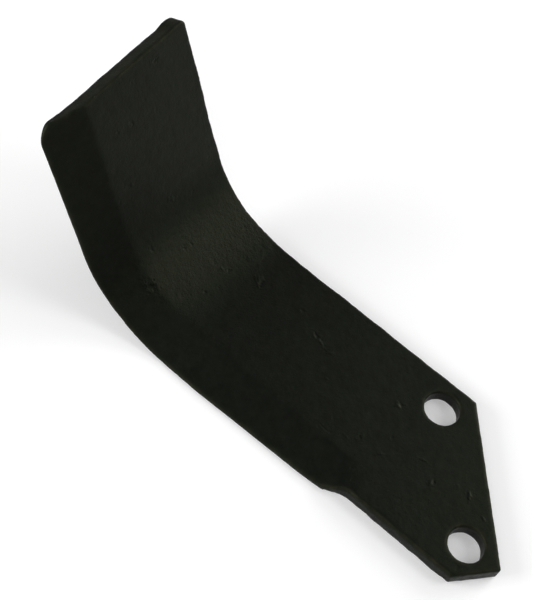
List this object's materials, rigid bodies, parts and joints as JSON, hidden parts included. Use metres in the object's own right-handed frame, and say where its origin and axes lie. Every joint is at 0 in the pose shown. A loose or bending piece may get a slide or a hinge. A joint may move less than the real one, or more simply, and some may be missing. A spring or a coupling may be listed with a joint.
{
  "type": "rotary tiller blade",
  "caption": "L-shaped forged steel rotary tiller blade: flat tang with bolt holes across the bar, long shank, curved bend and a bevelled cutting edge.",
  "frame": {"origin": "middle of the bolt line, on the outer face that seats on the rotor flange", "axes": "+X along the bolt line towards the hole nearer the back edge, +Z square to the flange face, towards the side the wing rises on; the bar runs from the tang towards +X +Y"},
  "size_m": [0.1959, 0.1738, 0.0882],
  "materials": {
    "black_paint": "thin black paint, satin, over a rough forged and pressed steel surface"
  },
  "bodies": {
    "root": {"blade": "black_paint"}
  },
  "joints": []
}
